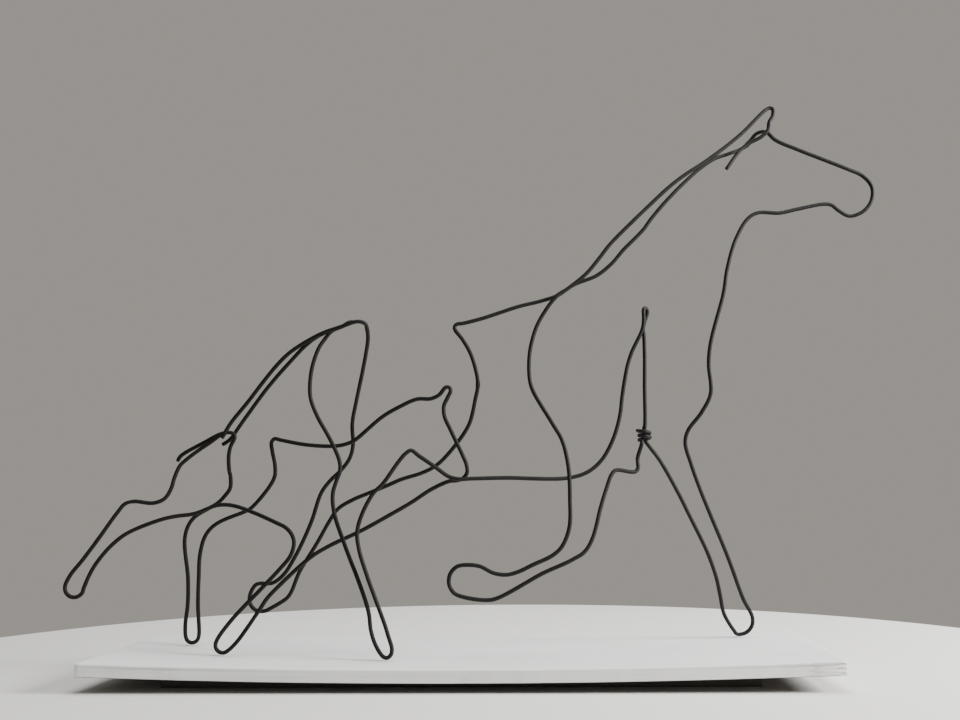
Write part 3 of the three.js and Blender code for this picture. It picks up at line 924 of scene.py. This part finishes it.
@dataclass(frozen=True)
class IronWireFinish:
    """Annealed iron wire: black fire scale, a breath of brown rust, grey where bends and pliers broke it."""

    scale: Colour = (0.0022, 0.0021, 0.0021, 1.0)
    dull: Colour = (0.0052, 0.0049, 0.0047, 1.0)
    rust: Colour = (0.014, 0.0075, 0.0045, 1.0)
    steel: Colour = (0.05, 0.047, 0.044, 1.0)
    gloss: float = 0.22  # how strongly the scale reflects, against 0.5 for a common varnish
    relief: float = 0.00012

    def build(self) -> bpy.types.Material:
        """The finish as a material."""
        finish = Finish("black_iron_wire")
        cloud = finish.noise(finish.place((1, 1, 1)), 120, 4)
        speck = finish.noise(finish.place((1, 1, 1)), 900, 2)
        bloom = finish.noise(finish.place((1, 1, 1)), 46, 3)
        grain = finish.add("Attribute", {"attribute_name": "grain"}, output="Vector")
        drawn = finish.noise(finish.add("Mapping", {}, {"Vector": grain, "Scale": (4.0, 4.0, 0.12)}), 2.4, 3)
        worn = (finish.mask("strain") * 0.8 + finish.mask("dent") * 0.55) * speck.within(0.42, 0.66)
        rusted = bloom.within(0.52, 0.74) * speck.within(0.3, 0.7) * 0.75
        colour = finish.blend(cloud.within(0.38, 0.68), self.scale, self.dull)
        colour = finish.blend(rusted, colour, self.rust)
        colour = finish.blend(worn * 0.5, colour, self.steel)
        finish.feed(finish.shader, "Base Color", colour)
        finish.feed(finish.shader, "Metallic", worn * 0.5)
        finish.feed(finish.shader, "Roughness", 0.5 + 0.22 * cloud + 0.15 * rusted - 0.12 * worn)
        finish.feed(finish.shader, "Specular IOR Level", self.gloss)
        finish.relief(drawn * 0.6 + speck * 0.4, self.relief)
        return finish.material


@dataclass(frozen=True)
class PaintFinish:
    """Matt white paint brushed along a thin board: streaked, scuffed grey, showing its core where opened,
    near black as painted shade underneath.
    """

    white: Colour = (0.80, 0.805, 0.80, 1.0)
    thin: Colour = (0.66, 0.672, 0.68, 1.0)
    scuff: Colour = (0.42, 0.42, 0.41, 1.0)
    core: Colour = (0.30, 0.285, 0.265, 1.0)
    # painted shade: near black for the board's underside and foot, where the gap under the board is in
    # shadow
    underside_painted_shade: Colour = (0.055, 0.045, 0.037, 1.0)
    relief: float = 0.00022

    def build(self) -> bpy.types.Material:
        """The finish as a material."""
        finish = Finish("brushed_white_paint")
        strokes = finish.noise(finish.place((9, 420, 420)), 1.0, 4, 0.6)
        hairs = finish.noise(finish.place((40, 1700, 1700)), 1.0, 3, 0.6)
        cloud = finish.noise(finish.place((14, 26, 26)), 1.0, 3)
        grit = finish.noise(finish.place((1, 1, 1)), 1300, 2)
        rubbed = finish.noise(finish.place((60, 190, 190)), 1.0, 4, 0.65)
        streak = strokes.within(0.42, 0.7) * 0.55 + cloud.within(0.4, 0.75) * 0.35
        colour = finish.blend(streak, self.white, self.thin)
        scuffed = rubbed.within(0.60, 0.72) * cloud.within(0.46, 0.62) * 0.35
        scuffed = scuffed + finish.mask("rim") * rubbed.within(0.5, 0.66) * 0.5
        colour = finish.blend(scuffed.within(0, 1), colour, self.scuff)
        opened = finish.mask("opened") * hairs.within(0.3, 0.62)
        colour = finish.blend(opened, colour, self.core)
        # Painted shade: the marked underside and foot take the near black colour
        colour = finish.blend(finish.mask("painted_shade_under"), colour, self.underside_painted_shade)
        finish.feed(finish.shader, "Base Color", colour)
        finish.feed(finish.shader, "Roughness", 0.52 + 0.18 * strokes + 0.25 * opened)
        finish.relief(strokes * 0.55 + hairs * 0.25 + grit * 0.2, self.relief)
        return finish.material


@dataclass(frozen=True)
class SoftLight:
    """A square soft light that faces a target; places and its side are in metres, its power in watts."""

    name: str
    place: Point
    target: Point
    size: float
    watts: float
    tone: Point

    def hang(self) -> None:
        """Puts the light in its place, turned so that its back is away from the target."""
        data = bpy.data.lights.new(self.name, "AREA")
        data.shape = "SQUARE"
        data.size = self.size
        data.energy = self.watts
        data.color = self.tone
        lamp = bpy.data.objects.new(self.name, data)
        back = unit(np.subtract(self.place, self.target))
        side = unit(np.cross((0.0, 0.0, 1.0), back))
        aimed = Matrix((side.tolist(), np.cross(back, side).tolist(), back.tolist())).transposed().to_4x4()
        aimed.translation = self.place
        lamp.matrix_world = aimed
        bpy.context.scene.collection.objects.link(lamp)


@dataclass(frozen=True)
class Studio:
    """A round pale floor, soft light from the right and a little in front, and the camera."""

    camera_place: Point = (52.0, -600.0, 95.0)
    yaw: float = 3.78  # degrees to the left of straight ahead
    pitch: float = 8.14
    roll: float = -0.76
    lens: float = 38.25
    sensor: float = 36.0
    floor_radius: float = 0.41  # metres
    floor_rings: int = 12
    floor_spokes: int = 96
    floor_tone: Colour = (0.72, 0.715, 0.70, 1.0)
    air: Colour = (0.34, 0.32, 0.295, 1.0)
    lights: tuple[SoftLight, ...] = (
        SoftLight("key", (1.0, -0.2, 0.46), (0.0, 0.0, 0.08), 0.36, 30.0, (1.0, 0.985, 0.965)),
        SoftLight("overhead", (0.25, 0.1, 1.5), (0.0, 0.0, 0.0), 1.2, 21.0, (0.96, 0.98, 1.0)),
    )

    def camera(self) -> None:
        """Sets up the camera: forward, right and up follow from its yaw, pitch and roll."""
        yaw, pitch, roll = (math.radians(angle) for angle in (self.yaw, self.pitch, self.roll))
        ahead = (-math.sin(yaw) * math.cos(pitch), math.cos(yaw) * math.cos(pitch), math.sin(pitch))
        forward = np.array(ahead)
        level = np.array([math.cos(yaw), math.sin(yaw), 0.0])
        above = np.cross(level, forward)
        right = math.cos(roll) * level + math.sin(roll) * above
        up = np.cross(right, forward)
        data = bpy.data.cameras.new("camera")
        data.lens = self.lens
        data.sensor_width = self.sensor
        data.clip_start = 0.01
        camera = bpy.data.objects.new("camera", data)
        turned = Matrix((right.tolist(), up.tolist(), (-forward).tolist())).transposed().to_4x4()
        turned.translation = [value * MM for value in self.camera_place]
        camera.matrix_world = turned
        bpy.context.scene.collection.objects.link(camera)
        bpy.context.scene.camera = camera

    def floor(self) -> None:
        """Lays the floor, a disc of rings and spokes at the plinth's underside."""
        ring = np.linspace(0, self.floor_radius, self.floor_rings + 1)[1:]
        turned = np.arange(self.floor_spokes) * (2 * math.pi / self.floor_spokes)
        flat = np.zeros((self.floor_rings, self.floor_spokes))
        disc = np.stack((ring[:, None] * np.cos(turned), ring[:, None] * np.sin(turned), flat), axis=-1)
        number = np.arange(disc.size // 3).reshape(disc.shape[:2])
        beside = np.roll(number, -1, axis=1)
        quads = np.stack((number[:-1], number[1:], beside[1:], beside[:-1]), axis=-1).reshape(-1, 4)
        level = np.array([0, 0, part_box("plinth")[0][2] / MM])
        floor = make_piece("floor", disc.reshape(-1, 3) / MM + level, quads, [number[0].tolist()])
        finish = Finish("floor_paper")
        grain = finish.noise(finish.place((1, 1, 1)), 600, 2)
        finish.feed(finish.shader, "Base Color", self.floor_tone)
        finish.feed(finish.shader, "Roughness", 0.85 + 0.1 * grain)
        floor.data.materials.append(finish.material)

    def build(self) -> None:
        """Sets up the camera, the floor, the lights and the air."""
        self.camera()
        self.floor()
        for light in self.lights:
            light.hang()
        world = bpy.data.worlds.new("air")
        world.use_nodes = True
        world.node_tree.nodes["Background"].inputs["Color"].default_value = self.air
        bpy.context.scene.world = world


WIRES = (
    Wire("mare_head_wire", "mare_head_and_far_foreleg_wire", MARE_HEAD_AND_FAR_FORELEG, 11, kink=0.03),
    Wire(
        "mare_neck_wire", "mare_neck_and_near_foreleg_wire", MARE_NECK_AND_NEAR_FORELEG, 12,
        start_cut=Cut.BLUNT, end_cut=Cut.BLUNT,
    ),
    Wire(
        "mare_back_wire", "mare_back_and_far_hind_leg_wire", MARE_BACK_AND_FAR_HIND_LEG, 13,
        end_cut=Cut.BLUNT, nicks=(Nick((10.6, -1.7, 166.0), 0.35), Nick((-53.2, -13.4, 198.6), 0.2)),
    ),
    Wire(
        "mare_belly_wire", "mare_belly_and_near_hind_leg_wire", MARE_BELLY_AND_NEAR_HIND_LEG, 14,
        start_cut=Cut.BLUNT,
    ),
    Wire("foal_running_wire", "foal_wire", FOAL, 15, start_cut=Cut.BLUNT, end_cut=Cut.BLUNT, kink=0.05),
)


def main() -> None:
    """Builds the studio, the plinth and the wires."""
    logging.basicConfig(level=logging.INFO, format="%(name)s: %(message)s")
    Studio().build()
    paint = PaintFinish().build()
    plinth = Plinth()
    plinth.board(paint)
    plinth.foot(paint)
    iron = IronWireFinish().build()
    for wire in WIRES:
        wire.build(iron)


if __name__ == "__main__":
    main()
